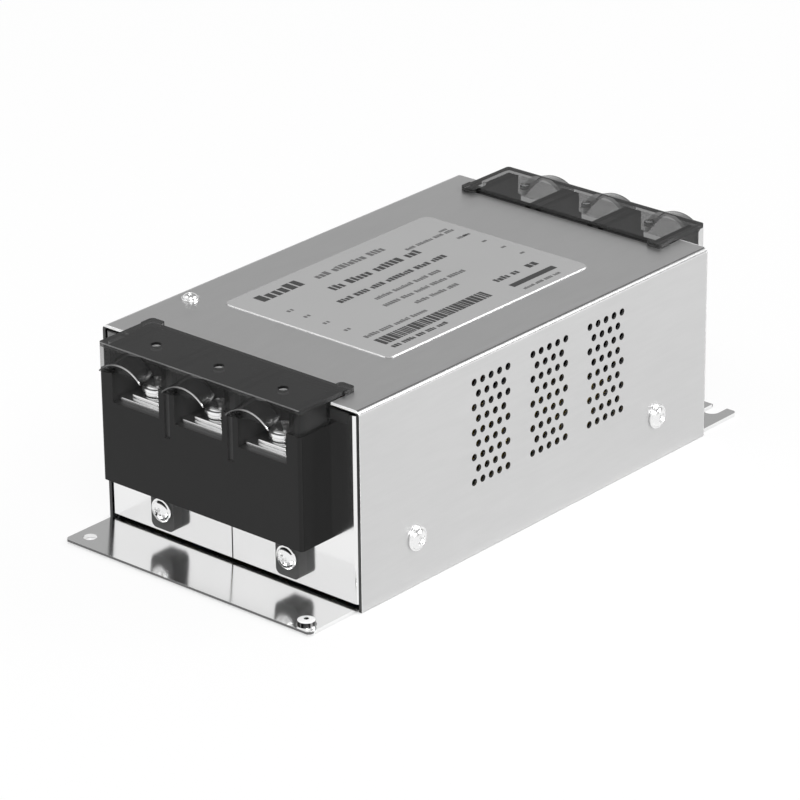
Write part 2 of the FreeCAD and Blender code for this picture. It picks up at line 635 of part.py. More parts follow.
def small_part_places():
    """The X of two parts side by side, between the outer lead and the board screw."""
    lead_edge = pole_places()[-1] + LEAD_OUTER / 2
    room = BOARD_SCREW_X - M3_HEAD / 2 - lead_edge - 2 * RESISTOR_OUTER
    scale = room / sum(DISC_GAPS)
    first = lead_edge + DISC_GAPS[0] * scale + RESISTOR_OUTER / 2
    return [first, first + RESISTOR_OUTER + DISC_GAPS[1] * scale]


def make_capacitors():
    z = (BOARD_TOP, BOARD_TOP + CAP_HIGH)
    long_half, thick_half = CAP_LONG / 2, CAP_THICK / 2
    across = span_box((-long_half, long_half), (-thick_half, thick_half), z)
    along = span_box((-thick_half, thick_half), (-long_half, long_half), z)
    step = CAP_LONG + CAP_ROW_GAP
    film_caps = [across.translated(V((i - 1) * step, 0, 0)) for i in range(3)]
    side_x = BOARD_HALF_WIDTH - CAP_SIDE_IN
    side_spots = [(side_x, CHOKE_Y), (-side_x, CHOKE_Y), (side_x, -CHOKE_Y)]
    film_caps += [along.translated(V(x, y, 0)) for x, y in side_spots]
    earth_cap = along.translated(V(-side_x, -CHOKE_Y, 0))
    disc_y = BOARD_HALF_LENGTH - DISC_BACK
    discs = []
    resistors = []
    near_x, far_x = small_part_places()
    for x in (-near_x, near_x, far_x):
        centre = V(x - DISC_THICK / 2, -disc_y, BOARD_TOP + DISC_OUTER / 2)
        discs.append(rod(DISC_OUTER, centre, V(1, 0, 0), DISC_THICK))
        start = V(x, disc_y - RESISTOR_LONG / 2, BOARD_TOP + RESISTOR_OUTER / 2)
        resistors.append(rod(RESISTOR_OUTER, start, V(0, 1, 0), RESISTOR_LONG))
    return {
        "x_capacitors": film_caps,
        "earth_capacitor": [earth_cap],
        "disc_capacitors": discs,
        "discharge_resistors": resistors,
    }


def make_leads():
    """Stiff leads from the plates' tails, bent down to the board."""
    y0 = out(-TAIL_REACH)
    z0 = RECESS_FLOOR + PLATE_THICK / 2
    centre_y = y0 + LEAD_STRAIGHT
    down_y = centre_y + LEAD_BEND
    slant = LEAD_BEND * math.sqrt(0.5)
    leads = []
    for x in pole_places():
        first = Part.LineSegment(V(x, y0, z0), V(x, centre_y, z0)).toShape()
        on_arc = V(x, centre_y + slant, z0 - LEAD_BEND + slant)
        bend = Part.Arc(V(x, centre_y, z0), on_arc, V(x, down_y, z0 - LEAD_BEND)).toShape()
        drop = Part.LineSegment(V(x, down_y, z0 - LEAD_BEND), V(x, down_y, BOARD_TOP)).toShape()
        path = Part.Wire([first, bend, drop])
        round_end = Part.makeCircle(LEAD_OUTER / 2, V(x, y0, z0), V(0, 1, 0))
        leads.append(path.makePipeShell([Part.Wire(round_end)], True, False))
    return leads


def make_parts():
    block = make_block()
    shell = make_terminal_cover()
    plates = make_plates()
    leads = make_leads()
    core, windings, carrier = make_choke()
    parts = {
        "base_tray": [make_tray()],
        "top_cover": [make_top_cover()],
        "line_terminal_block": [block],
        "load_terminal_block": [half_turn(block)],
        "line_terminal_cover": [shell],
        "load_terminal_cover": [half_turn(shell)],
        "line_terminal_plates": plates,
        "load_terminal_plates": [half_turn(plate) for plate in plates],
        "rating_label": [make_label()],
        "line_leads": leads,
        "load_leads": [half_turn(lead) for lead in leads],
        "line_choke_core": [core],
        "load_choke_core": [half_turn(core)],
        "line_choke_windings": windings,
        "load_choke_windings": [half_turn(winding) for winding in windings],
        "choke_carriers": [carrier, half_turn(carrier)],
    }
    parts.update(make_clamp_sets())
    parts.update(make_housing_screws())
    parts.update(make_board_parts())
    parts.update(make_capacitors())
    return parts


def main():
    os.makedirs("parts", exist_ok=True)
    for name, solids in make_parts().items():
        shape = solids[0] if len(solids) == 1 else Part.makeCompound(solids)
        shape.exportStep("parts/" + name + ".step")
        print(name, len(shape.Solids), shape.isValid(), round(shape.Volume, 1))


main()
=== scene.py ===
import math
import random

import bpy
from mathutils import Matrix, Vector


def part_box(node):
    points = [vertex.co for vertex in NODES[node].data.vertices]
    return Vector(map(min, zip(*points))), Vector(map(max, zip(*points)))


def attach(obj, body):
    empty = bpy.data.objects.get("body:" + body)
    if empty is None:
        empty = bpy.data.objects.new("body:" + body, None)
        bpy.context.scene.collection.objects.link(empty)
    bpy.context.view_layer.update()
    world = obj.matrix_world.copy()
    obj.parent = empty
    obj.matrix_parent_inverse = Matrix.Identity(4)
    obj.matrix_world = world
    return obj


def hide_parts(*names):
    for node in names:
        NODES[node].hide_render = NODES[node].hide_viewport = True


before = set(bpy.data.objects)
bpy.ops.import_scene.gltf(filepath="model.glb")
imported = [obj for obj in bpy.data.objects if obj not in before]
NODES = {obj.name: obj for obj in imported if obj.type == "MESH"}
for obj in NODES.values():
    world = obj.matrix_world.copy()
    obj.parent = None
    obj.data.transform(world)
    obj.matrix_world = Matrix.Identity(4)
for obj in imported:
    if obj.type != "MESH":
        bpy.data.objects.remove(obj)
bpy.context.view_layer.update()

bl_info = {
    "name": "Line filter looks",
    "version": (1, 0, 0),
    "blender": (4, 5, 0),
    "location": "3D View > Sidebar > Line filter",
    "description": "Finishes and detailed pieces for a three-phase line filter in a folded steel box",
    "category": "Object",
}

MM = 0.001

# Camera, solved from the photograph: 800 pixels across, square
PICTURE = 800
FOCAL_PIXELS = 4322.04
SENSOR = 36.0
CAMERA_PLACE = Vector((823.227, -947.193, 577.163)) * MM
CAMERA_AZIMUTH = math.radians(41.1688)
CAMERA_ELEVATION = math.radians(23.6938)
CAMERA_ROLL = math.radians(-0.6272)

# Terminal blocks and covers, repeated from the part's source
POLE_PITCH = 26.0 * MM
RECESS_HALF = 9.7 * MM
RECESS_FLOOR = 48.7 * MM
BLOCK_BOTTOM = 21.5 * MM
LUG_WIDTH = 9.5 * MM
GROOVE_HALF = 1.1 * MM
GROOVE_BOTTOM = 43.0 * MM
PROBE_PLACE = 87.95 * MM      # probe holes, from the middle of the housing
PROBE_RADIUS = 1.65 * MM
RIM_HALF = 8.6 * MM
RIM_CROWN = 65.5 * MM
RIM_WALL = 1.3 * MM

# Worked out from the source's rim, an arch 3.6 mm high on legs of 0.3 mm
RIM_FOOT = 61.6 * MM          # foot of the legs
RIM_RADIUS = 12.07 * MM       # outer radius of the arch

# How far a mask reaches past the face that it paints, and past an end or an outer side
SKIN = 0.05 * MM
END_SKIN = 0.1 * MM


class Settings(bpy.types.PropertyGroup):
    """Colours and sizes that a user may change before the pieces are made"""

    cover_tone: bpy.props.FloatProperty(
        name="Cover steel", description="Grey of the satin top cover", default=0.60, min=0, max=1)
    tray_tone: bpy.props.FloatProperty(
        name="Tray steel", description="Grey of the bright plated tray", default=0.90, min=0, max=1)
    moulding_tone: bpy.props.FloatProperty(
        name="Mouldings", description="Grey of the black terminal blocks", default=0.010, min=0, max=1)
    smoke_tone: bpy.props.FloatProperty(
        name="Smoked covers", description="How much a face of a cover's flat parts hides what is behind it",
        default=0.85, min=0, max=1)
    vault_tone: bpy.props.FloatProperty(
        name="Smoked vaults", description="How much a face of a cover's vaults hides what is behind it",
        default=0.38, min=0, max=1)
    rim_wall: bpy.props.FloatProperty(
        name="Rim", description="Thickness of a vault's wall at its rim", default=0.55 * MM, min=0,
        unit="LENGTH")
    label_tone: bpy.props.FloatProperty(
        name="Label", description="Grey of the label film", default=0.415, min=0, max=1)
    ink_tone: bpy.props.FloatProperty(
        name="Ink", description="Grey of the darkest print", default=0.03, min=0, max=1)
    floor_tone: bpy.props.FloatProperty(
        name="Floor", description="Grey of the floor", default=0.85, min=0, max=1)
    key_power: bpy.props.FloatProperty(
        name="Key light", description="Power of the large soft lamp", default=11.0, min=0, unit="POWER")
    recess_depth: bpy.props.FloatProperty(
        name="Recess depth", description="Depth of the cross recess in a screw head",
        default=1.3 * MM, min=0, unit="LENGTH")
    flange_bow: bpy.props.FloatProperty(
        name="Flange bow", description="Rise of a flange's face per length, as its reflections show it",
        default=0.066, min=0, max=0.2)
    ink_height: bpy.props.FloatProperty(
        name="Ink thickness", description="How far the print stands on the label",
        default=0.03 * MM, min=0, unit="LENGTH")


def settings():
    return bpy.context.scene.line_filter


def level(tone):
    """A grey as a colour."""
    return (tone, tone, tone, 1)


class Number:
    """A socket of numbers that takes part in arithmetic."""

    def __init__(self, finish, socket):
        self.finish = finish
        self.socket = socket

    def __add__(self, other):
        return self.finish.maths("ADD", self, other)

    def __sub__(self, other):
        return self.finish.maths("SUBTRACT", self, other)

    def __rsub__(self, other):
        return self.finish.maths("SUBTRACT", other, self)

    def __mul__(self, other):
        return self.finish.maths("MULTIPLY", self, other)

    def __gt__(self, other):
        return self.finish.maths("GREATER_THAN", self, other)

    def __lt__(self, other):
        return self.finish.maths("LESS_THAN", self, other)

    __radd__ = __add__
    __rmul__ = __mul__


class Nodes:
    """A node tree and the calls that fill it."""

    def __init__(self, tree):
        self.tree = tree

    def put(self, socket, value):
        """Links a value to a socket, or sets it."""
        if isinstance(value, Number):
            value = value.socket
        if isinstance(value, bpy.types.NodeSocket):
            self.tree.links.new(value, socket)
        else:
            socket.default_value = value

    def node(self, kind, settings, inputs, output=0):
        """Adds a node with its settings and inputs, and returns one of its outputs."""
        made = self.tree.nodes.new(kind)
        for name, value in settings.items():
            if name == "stops":
                for stop, (place, grey) in zip(made.color_ramp.elements, value):
                    stop.position = place
                    stop.color = level(grey)
            else:
                setattr(made, name, value)
        for name, value in inputs.items():
            self.put(made.inputs[name], value)
        return Number(self, made.outputs[output])

    def maths(self, operation, first, second):
        return self.node("ShaderNodeMath", {"operation": operation}, {0: first, 1: second})

    def places(self, stretch=(1, 1, 1)):
        """The piece's own coordinates, stretched along each axis."""
        coordinates = self.node("ShaderNodeTexCoord", {}, {}, "Object")
        return self.node("ShaderNodeMapping", {}, {"Vector": coordinates, "Scale": stretch})

    def axis(self, name):
        """One of the piece's own coordinates, in metres."""
        return self.node("ShaderNodeSeparateXYZ", {}, {0: self.places()}, name)

    def size(self, value):
        return self.maths("ABSOLUTE", value, 0.0)

    def larger(self, first, second):
        return self.maths("MAXIMUM", first, second)

    def ramp(self, value, start, end, low=0.0, high=1.0):
        """Rises from low to high while the value goes from start to end."""
        return self.node("ShaderNodeMapRange", {}, {0: value, 1: start, 2: end, 3: low, 4: high})

    def from_pole(self):
        """How far a point is from the middle of the nearest terminal, across the housing."""
        across = self.axis("X")
        return across - self.maths("ROUND", across * (1 / POLE_PITCH), 0.0) * POLE_PITCH

    def noise(self, scale, detail=3.0, stretch=(1, 1, 1)):
        """Noise from 0 to 1 with features about 1 / scale metres across."""
        return self.node(
            "ShaderNodeTexNoise", {},
            {"Vector": self.places(stretch), "Scale": scale, "Detail": detail}, "Fac")

    def grey(self, low, high, factor):
        """A grey between two tones."""
        return self.blend(level(low), level(high), factor)

    def blend(self, first, second, factor):
        """A colour between two colours."""
        return self.node(
            "ShaderNodeMix", {"data_type": "RGBA"}, {"Factor": factor, 6: first, 7: second}, 2)

    def ray(self, *kinds):
        """One where the light path is any of these kinds of ray, and nought elsewhere."""
        total = 0.0
        for kind in kinds:
            total = self.node("ShaderNodeLightPath", {}, {}, f"Is {kind} Ray") + total
        return self.maths("MINIMUM", total, 1.0)


class Finish(Nodes):
    """A procedural material."""

    def __init__(self, label, **constants):
        self.material = bpy.data.materials.new(label)
        self.material.use_nodes = True
        super().__init__(self.material.node_tree)
        self.surface = self.tree.nodes["Principled BSDF"]
        for name, value in constants.items():
            self.surface.inputs[name.replace("_", " ")].default_value = value

    def bump(self, height, distance, strength=1.0):
        normal = self.node(
            "ShaderNodeBump", {}, {"Height": height, "Distance": distance, "Strength": strength}, "Normal")
        self.put(self.surface.inputs["Normal"], normal)

    def feed(self, **values):
        for name, value in values.items():
            self.put(self.surface.inputs[name.replace("_", " ")], value)


def cover_steel():
    """Satin plated sheet with a faint grain.

    As in the photograph, its inside and its bends carry painted shade, its upright cut ends are
    darker, and the cut edges of its top carry a painted white highlight.
    """
    tone = settings().cover_tone
    finish = Finish("cover steel")
    grain = finish.noise(900, 4, (1, 0.08, 1))
    cloud = finish.noise(35, 2)
    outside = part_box("top_cover")[1]
    across, along = finish.size(finish.axis("X")), finish.size(finish.axis("Y"))
    height = finish.axis("Z")
    inner_face, side_height, bend_reach, highlight_reach = 0.9 * MM, 0.8 * MM, 1.2 * MM, 0.25 * MM
    # Painted shade: the inside of the cover is painted dark.
    inside = (across < outside.x - inner_face) * (height < outside.z - inner_face)
    inside = inside * (along < outside.y - END_SKIN)
    cut_end = (along > outside.y - END_SKIN) * (height < outside.z - side_height)
    # Painted shade on the long bends, which dims their bright reflection.
    bend_shade = (across > outside.x - bend_reach) * (height > outside.z - bend_reach)
    # Painted highlight: a white strip along the cut ends of the top, not metallic.
    edge_highlight = (along > outside.y - highlight_reach) * (1.0 - cut_end)
    sheet = finish.grey(tone * 0.94, tone * 1.05, grain * 0.6 + cloud * 0.4)
    # The bends are blended towards dark grey as painted shade.
    sheet = finish.blend(sheet, level(0.2), bend_shade)
    # The painted highlight strip is blended in as white.
    sheet = finish.blend(sheet, level(0.9), edge_highlight)
    finish.feed(
        Metallic=1.0 - edge_highlight,
        # Painted shade inside the cover; the upright cut ends are darker too.
        Base_Color=finish.blend(sheet, level(0.08), finish.larger(inside, cut_end)),
        Roughness=grain * 0.10 + 0.30)
    finish.bump(grain, 0.02 * MM, 0.35)
    return finish.material


def tray_steel():
    """Bright plated sheet, nearly a mirror; the flanges bow up a little.

    Cut edges are darker; the outer sides and the part over the blocks carry painted shade, lighter on the
    left.
    """
    tone = settings().tray_tone
    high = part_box("base_tray")[1]
    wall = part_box("top_cover")[1].y
    finish = Finish("tray steel")
    wave = finish.noise(45, 1)
    speck = finish.noise(1100, 2)
    across, along, height = finish.axis("X"), finish.size(finish.axis("Y")), finish.axis("Z")
    beyond = finish.larger(along - wall, 0.0)
    edge_low, edge_high, bottom, over_blocks = 0.35 * MM, 1.17 * MM, 1.3 * MM, 60.5 * MM
    cut_edge = (along > high.y - 0.4 * MM) * (height < edge_high) * (height > edge_low)
    # Painted shade: the outer sides, where they meet the cover, and the strip over the blocks are painted
    # dark.
    tray_side_shade = (finish.size(across) > high.x - 0.5 * MM) * (height > bottom)
    above = (height > over_blocks) * (across < high.x - 3.0 * MM)
    # The grey of the painted shade, lighter on the left.
    shade = finish.blend(level(0.04), level(0.16), across < 0.0)
    sheet = finish.blend(finish.grey(tone * 0.95, tone, wave), level(0.16), cut_edge)
    finish.feed(
        Metallic=1.0 - above,
        Base_Color=finish.blend(sheet, shade, finish.larger(tray_side_shade, above)),
        Roughness=speck * 0.05 + 0.11 + cut_edge * 0.3)
    finish.bump(wave * 0.06 + beyond * (settings().flange_bow / MM), 1.0 * MM)
    return finish.material


def black_moulding():
    """Black moulding with painted light deep in its recesses, grooves and lug sides, and painted shade on
    its outer sides.
    """
    tone = settings().moulding_tone
    low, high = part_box("line_terminal_block")
    half, reach = high.x, -low.y
    finish = Finish("black moulding", Specular_IOR_Level=0.2)
    pebble = finish.noise(1800, 2)
    cloud = finish.noise(60, 2)
    across, height = finish.size(finish.axis("X")), finish.axis("Z")
    side = across > half - SKIN
    depth = reach - finish.size(finish.axis("Y"))
    away = finish.size(finish.from_pole())
    recess = (away < RECESS_HALF + SKIN) * (height > RECESS_FLOOR - SKIN)
    groove = (away > POLE_PITCH / 2 - GROOVE_HALF - SKIN) * (height > GROOVE_BOTTOM - SKIN)
    # Painted light: the recesses and grooves are painted paler the deeper they go, where little light
    # reaches.
    inside = finish.larger(recess, groove * 1.4) * (depth > SKIN)
    inside = inside * finish.ramp(depth, SKIN, 8 * MM, 0.25, 1.0)
    # Painted light: the lower sides of the lugs are painted paler too.
    lug_side = finish.larger(side, across < half - LUG_WIDTH + SKIN) * (height < BLOCK_BOTTOM - 2 * SKIN)
    painted_lift = finish.larger(inside, lug_side * 0.8)
    # Painted shade: the outer sides are painted pure black.
    face = finish.blend(finish.grey(tone * 0.8, tone * 1.3, cloud), level(0.0), side)
    finish.feed(
        # The painted light is blended in here.
        Base_Color=finish.blend(face, level(0.10), painted_lift),
        Roughness=cloud * 0.12 + 0.40)
    finish.bump(pebble, 0.03 * MM, 0.4)
    return finish.material


def smoked_plastic():
    """Dark clear plastic, clearer in the vaults, with a painted highlight on the vaults' rims and the front
    edges.

    The cover at the load end hides less and has painted shade as a dark outline, as it looks in the
    photograph.
    """
    hides, vault_hides = settings().smoke_tone, settings().vault_tone
    low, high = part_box("line_terminal_cover")
    rim_place, top = -low.y, high.z
    block_low, block_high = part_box("line_terminal_block")
    front, half = -block_low.y, block_high.x
    finish = Finish("smoked plastic", IOR=1.46)
    cloud = finish.noise(80, 2)
    along = finish.size(finish.axis("Y"))
    height = finish.axis("Z")
    across = finish.from_pole()
    rise = height - (RIM_CROWN - RIM_RADIUS)
    lip, edge_reach = 0.35 * MM, 0.3 * MM
    # Painted highlight on each vault's rim, brighter towards one side, and fainter on the top's front edge.
    over_line = across * across + rise * rise > (RIM_RADIUS - lip) ** 2
    rim = over_line * (along > rim_place - edge_reach)
    edge = (height > top - edge_reach) * (along > front - edge_reach)
    bright = finish.larger(rim * finish.ramp(across, -3 * MM, 7 * MM, 0.1, 0.9), edge * 0.25)
    sideways = finish.size(finish.axis("X"))
    side = sideways > half - END_SKIN
    out = along - PROBE_PLACE
    # Painted highlight: the walls of the probe holes are painted a light grey.
    hole_highlight = (across * across + out * out < (PROBE_RADIUS + 0.12 * MM) ** 2) * (height < top - 0.85 * MM)
    wall = height < top - RIM_WALL
    vault = along > front + 0.2 * MM
    # The painted highlight is a pale grey, made metallic below.
    tone = finish.blend(finish.grey(0.008, 0.012, cloud), level(0.75), bright)
    # The load-end cover is the same plastic, made clearer to match the light on it.
    far = finish.axis("Y") > 0.0
    hides = hides - far * 0.11
    walls = 0.35 - far * 0.17
    hidden = hides - wall * (hides - walls)
    hidden = hidden + vault * (far * 0.20 + vault_hides - hidden)
    # Painted shade: a dark, nearly opaque outline along the load-end cover's sides and front.
    outline_width = 1.2 * MM
    outline = finish.larger(sideways > half - outline_width, along > front - outline_width)
    outline = outline * far * (height > top - RIM_WALL) * (1.0 - vault)
    hidden = finish.larger(hidden, outline * 0.97)
    finish.feed(
        Base_Color=finish.blend(tone, level(0.5), hole_highlight),
        Metallic=bright,
        Roughness=cloud * 0.04 + 0.05 + vault * (1.0 - rim) * 0.12 + side * 0.5,
        Alpha=finish.larger(finish.larger(rim, hole_highlight), hidden))
    return finish.material


def plated(name, tone, roughness):
    """Bright plating on a small part, with fine scuffs."""
    finish = Finish(name, Metallic=1.0)
    scuff = finish.noise(2500, 3)
    finish.feed(
        Base_Color=finish.grey(tone * 0.92, tone, scuff),
        Roughness=scuff * 0.10 + roughness)
    finish.bump(scuff, 0.01 * MM, 0.3)
    return finish.material


def label_film():
    """Silver-grey film with a fine sparkle, and a painted highlight along two of its cut edges."""
    tone = settings().label_tone
    low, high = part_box("rating_label")
    finish = Finish("label film", Metallic=0.25)
    sparkle = finish.noise(3500, 1)
    cloud = finish.noise(25, 2)
    across, along = finish.axis("X"), finish.axis("Y")
    # Painted highlight: a near-white strip along two of the label's cut edges.
    cut_edge = finish.larger(across - high.x, low.y - along) > -0.3 * MM
    film = finish.grey(tone * 0.93, tone * 1.07, sparkle * 0.5 + cloud * 0.5)
    finish.feed(
        Base_Color=finish.blend(film, level(0.85), cut_edge),
        Roughness=sparkle * 0.10 + 0.38)
    return finish.material


def plain_paint(name, colour, roughness, scale, metallic=0.0):
    """A slightly mottled finish for a part inside the box."""
    finish = Finish(name, Metallic=metallic)
    mottle = finish.noise(scale, 3)
    dark = tuple(channel * 0.85 for channel in colour) + (1,)
    light = tuple(min(1.0, channel * 1.1) for channel in colour) + (1,)
    finish.feed(
        Base_Color=finish.blend(dark, light, mottle),
        Roughness=mottle * 0.12 + roughness)
    finish.bump(mottle, 0.03 * MM, 0.3)
    return finish.material


def deselect():
    if bpy.context.object and bpy.context.object.mode != "OBJECT":
        bpy.ops.object.mode_set(mode="OBJECT")
    bpy.ops.object.select_all(action="DESELECT")


def choose(*pieces):
    """Selects these objects alone, and makes the first one active."""
    deselect()
    for piece in pieces:
        piece.select_set(True)
    bpy.context.view_layer.objects.active = pieces[0]


def fixed_place(piece):
    choose(piece)
    bpy.ops.object.transform_apply(location=True, rotation=True, scale=True)
    return piece


def box(low, high):
    """A box between two corners, its place in its mesh."""
    deselect()
    centre = [(a + b) / 2 for a, b in zip(low, high)]
    size = [b - a for a, b in zip(low, high)]
    bpy.ops.mesh.primitive_cube_add(size=1, location=centre, scale=size)
    return fixed_place(bpy.context.object)


def cylinder(radius, low, high, sides=48):
    """An upright cylinder about Z between two heights."""
    deselect()
    bpy.ops.mesh.primitive_cylinder_add(
        vertices=sides, radius=radius, depth=high - low, location=(0, 0, (low + high) / 2))
    return fixed_place(bpy.context.object)


def ball(radii, height):
    """The upper half of an ellipsoid whose widest section is at a height, closed below."""
    deselect()
    bpy.ops.mesh.primitive_uv_sphere_add(
        segments=48, ring_count=24, radius=1, location=(0, 0, height), scale=radii)
    half = fixed_place(bpy.context.object)
    bpy.ops.object.mode_set(mode="EDIT")
    bpy.ops.mesh.select_all(action="SELECT")
    bpy.ops.mesh.bisect(
        plane_co=(0, 0, height - radii[2] * 0.2), plane_no=(0, 0, 1), use_fill=True, clear_inner=True)
    bpy.ops.object.mode_set(mode="OBJECT")
    return half


def edit_edges(piece, test):
    """Opens a piece in edit mode with the edges selected whose two ends pass the test."""
    choose(piece)
    bpy.ops.object.mode_set(mode="EDIT")
    bpy.ops.mesh.select_mode(type="EDGE")
    bpy.ops.mesh.select_all(action="DESELECT")
    bpy.ops.object.mode_set(mode="OBJECT")
    points = piece.data.vertices
    for edge in piece.data.edges:
        first, second = (points[i].co for i in edge.vertices)
        edge.select = test(first, second)
    bpy.ops.object.mode_set(mode="EDIT")


def edit_faces(piece, test):
    """Opens a piece in edit mode with the faces selected whose centre and normal pass the test."""
    choose(piece)
    bpy.ops.object.mode_set(mode="EDIT")
    bpy.ops.mesh.select_mode(type="FACE")
    bpy.ops.mesh.select_all(action="DESELECT")
    bpy.ops.object.mode_set(mode="OBJECT")
    for face in piece.data.polygons:
        face.select = test(face.center, face.normal)
    bpy.ops.object.mode_set(mode="EDIT")


def bevel_edges(piece, test, width, segments):
    edit_edges(piece, test)
    bpy.ops.mesh.bevel(offset=width, segments=segments, profile=0.5, affect="EDGES")
    bpy.ops.object.mode_set(mode="OBJECT")
    return piece


def apply_modifier(piece, kind, **values):
    choose(piece)
    modifier = piece.modifiers.new(kind.title(), kind)
    for name, value in values.items():
        setattr(modifier, name, value)
    bpy.ops.object.modifier_apply(modifier=modifier.name)
    return piece


def cut(piece, cutter):
    apply_modifier(piece, "BOOLEAN", object=cutter, operation="DIFFERENCE", solver="EXACT")
    bpy.data.objects.remove(cutter)
    return piece


def joined(pieces):
    choose(*pieces)
    bpy.ops.object.join()
    return bpy.context.object


def placed_copy(piece, matrix):
    """A copy with its own mesh, moved by a matrix that is put into the mesh."""
    copy = piece.copy()
    copy.data = piece.data.copy()
    bpy.context.collection.objects.link(copy)
    copy.data.transform(matrix)
    return copy


def smooth(piece, degrees=35):
    choose(piece)
    bpy.ops.object.shade_smooth_by_angle(angle=math.radians(degrees))
    return piece


def hand_over(piece, name, slot, material, *replaced):
    """Gives a finished piece its name, finish and body; the slot is not used."""
    piece.name = name
    piece.data.name = name
    piece.data.materials.clear()
    piece.data.materials.append(material)
    if replaced:
        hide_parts(*replaced)
    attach(piece, "root")
    return piece


def dress(material, *names):
    """Puts a finish on CAD nodes whose shape stays."""
    for name in names:
        node = NODES[name]
        node.data.materials.clear()
        node.data.materials.append(material)


def seats(node):
    """The lowest and highest corner of each loose solid of a CAD node."""
    mesh = NODES[node].data
    owner = {}
    keys = [tuple(round(c, 7) for c in v.co) for v in mesh.vertices]

    def root(key):
        while owner.setdefault(key, key) != key:
            key = owner[key]
        return key

    for face in mesh.polygons:
        first = root(keys[face.vertices[0]])
        for i in face.vertices[1:]:
            owner[root(keys[i])] = first
    groups = {}
    for key in set(keys):
        groups.setdefault(root(key), []).append(Vector(key))
    return [
        (Vector(map(min, zip(*group))), Vector(map(max, zip(*group))))
        for group in groups.values()
    ]


def merged_copy(node):
    """A copy of a CAD node, its triangles joined into faces."""
    deselect()
    copy = placed_copy(NODES[node], Matrix.Identity(4))
    choose(copy)
    bpy.ops.object.mode_set(mode="EDIT")
    bpy.ops.mesh.select_all(action="SELECT")
    bpy.ops.mesh.customdata_custom_splitnormals_clear()
    bpy.ops.mesh.remove_doubles(threshold=0.001 * MM)
    bpy.ops.mesh.dissolve_limited(angle_limit=math.radians(1))
    bpy.ops.object.mode_set(mode="OBJECT")
    return copy


def rounded(piece, width):
    """Rounds a piece's sharp edges, its flat faces kept flat."""
    apply_modifier(
        piece, "BEVEL", width=width, segments=2, limit_method="ANGLE", angle_limit=math.radians(40),
        use_clamp_overlap=True, miter_outer="MITER_ARC")
    smooth(piece, 40)
    return apply_modifier(piece, "WEIGHTED_NORMAL", mode="FACE_AREA", weight=100, keep_sharp=True)


def cross_cutter(arm, slot, top, depth):
    """A tapered cross that sinks from just over the head's top to its depth."""
    arms = []
    for along_x in (True, False):
        half_x, half_y = (arm / 2, slot / 2) if along_x else (slot / 2, arm / 2)
        bar = box((-half_x, -half_y, top - depth), (half_x, half_y, top + depth))
        edit_faces(bar, lambda centre, normal: normal.z < -0.9)
        bpy.ops.transform.resize(value=(0.55 if along_x else 0.8, 0.8 if along_x else 0.55, 1))
        bpy.ops.object.mode_set(mode="OBJECT")
        arms.append(bar)
    return apply_union(*arms)


def apply_union(first, second):
    apply_modifier(first, "BOOLEAN", object=second, operation="UNION", solver="EXACT")
    bpy.data.objects.remove(second)
    return first


def pan_head(head, high, shank, below):
    """A domed head with a collar and a cross recess, standing on Z = 0, its shank below."""
    collar_high = high * 0.34
    collar = cylinder(head / 2, 0, collar_high, 64)
    bevel_edges(collar, lambda a, b: min(a.z, b.z) > collar_high * 0.9, collar_high * 0.45, 3)
    foot = collar_high * 0.7
    dome = ball((head * 0.42, head * 0.42, high - foot), foot)
    screw = apply_union(collar, dome)
    depth = min(settings().recess_depth, high * 0.6)
    cut(screw, cross_cutter(head * 0.56, head * 0.15, high, depth))
    apply_modifier(
        screw, "BEVEL", width=0.05 * MM, segments=2, limit_method="ANGLE", angle_limit=math.radians(50))
    smooth(screw)
    stem = smooth(cylinder(shank / 2, -below, 0.02 * MM, 24))
    return joined([screw, stem])


def cheese_head(head, high, shank, below):
    """A straight-sided head with a nearly flat top and a small recess, standing on Z = 0."""
    top = high * 0.8
    body = cylinder(head / 2, 0, top, 64)
    bevel_edges(body, lambda a, b: min(a.z, b.z) > top * 0.9, 0.15 * MM, 2)
    screw = apply_union(body, ball((head * 0.46, head * 0.46, high - top + 0.05 * MM), top - 0.05 * MM))
    cut(screw, cross_cutter(head * 0.36, head * 0.16, high, high * 0.5))
    smooth(screw)
    stem = smooth(cylinder(shank / 2, -below, 0.02 * MM, 24))
    return joined([screw, stem])


def toward(direction, point):
    """The matrix that stands a piece modelled along +Z on a point, along a direction."""
    turn = Vector((0, 0, 1)).rotation_difference(Vector(direction)).to_matrix().to_4x4()
    return Matrix.Translation(point) @ turn


def seated_screws(model, node, axis, turns):
    """Copies of a modelled screw at the seats of a CAD node's solids, which stand along an axis."""
    copies = []
    for i, (low, high) in enumerate(seats(node)):
        middle = (low + high) / 2
        sign = 1 if middle[axis] > 0 or axis == 2 else -1
        tip = high[axis] if sign > 0 else low[axis]
        direction = [0, 0, 0]
        direction[axis] = sign
        high_of_head = max(v.co.z for v in model.data.vertices)
        seat = Vector(middle)
        seat[axis] = tip - sign * high_of_head
        twist = Matrix.Rotation(math.radians(turns[i % len(turns)]), 4, "Z")
        copies.append(placed_copy(model, toward(direction, seat) @ twist))
    bpy.data.objects.remove(model)
    return joined(copies)


